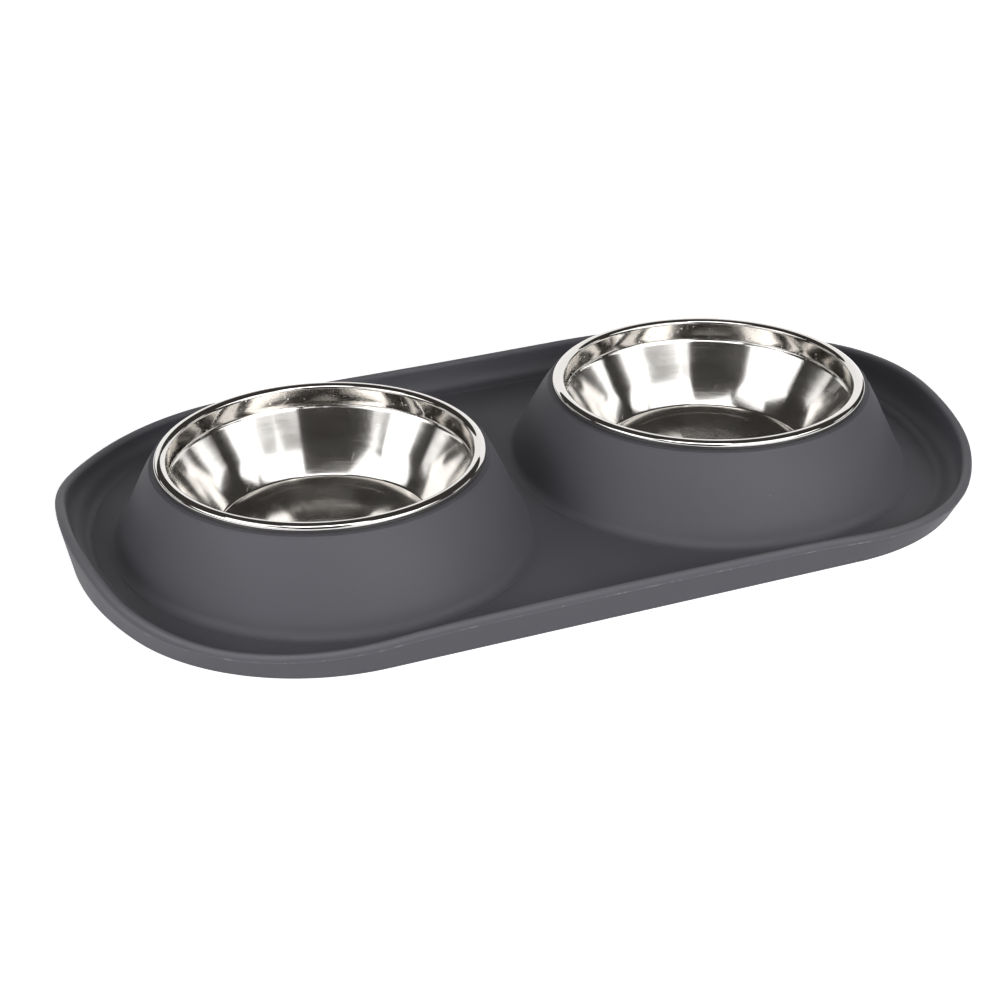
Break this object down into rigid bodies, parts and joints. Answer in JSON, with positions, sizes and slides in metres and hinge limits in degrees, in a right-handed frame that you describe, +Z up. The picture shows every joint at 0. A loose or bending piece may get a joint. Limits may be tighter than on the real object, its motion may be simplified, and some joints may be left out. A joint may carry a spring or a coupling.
{
  "type": "double pet bowl",
  "caption": "Feeding station for a pet: pressed steel bowls hang by their rolled rims in the domes of a one-piece silicone spill tray with a wavy raised edge.",
  "frame": {"origin": "on the table, midway between the two bowls, at the middle of the underside", "axes": "+X along the base from the left bowl to the right bowl, +Y towards the back long side, +Z up"},
  "size_m": [0.4626, 0.2748, 0.0459],
  "materials": {
    "silicone": "matt moulded silicone",
    "steel": "polished pressed steel with fine circular brushing"
  },
  "bodies": {
    "base": {"silicone_base": "silicone"},
    "left_bowl": {"left_bowl": "steel"},
    "right_bowl": {"right_bowl": "steel"}
  },
  "joints": [
    {"name": "left_bowl_lift", "type": "slide", "parent": "base", "child": "left_bowl", "axis": [0, 0, 1], "range_m": [0, 0.06]},
    {"name": "right_bowl_lift", "type": "slide", "parent": "base", "child": "right_bowl", "axis": [0, 0, 1], "range_m": [0, 0.06]}
  ]
}
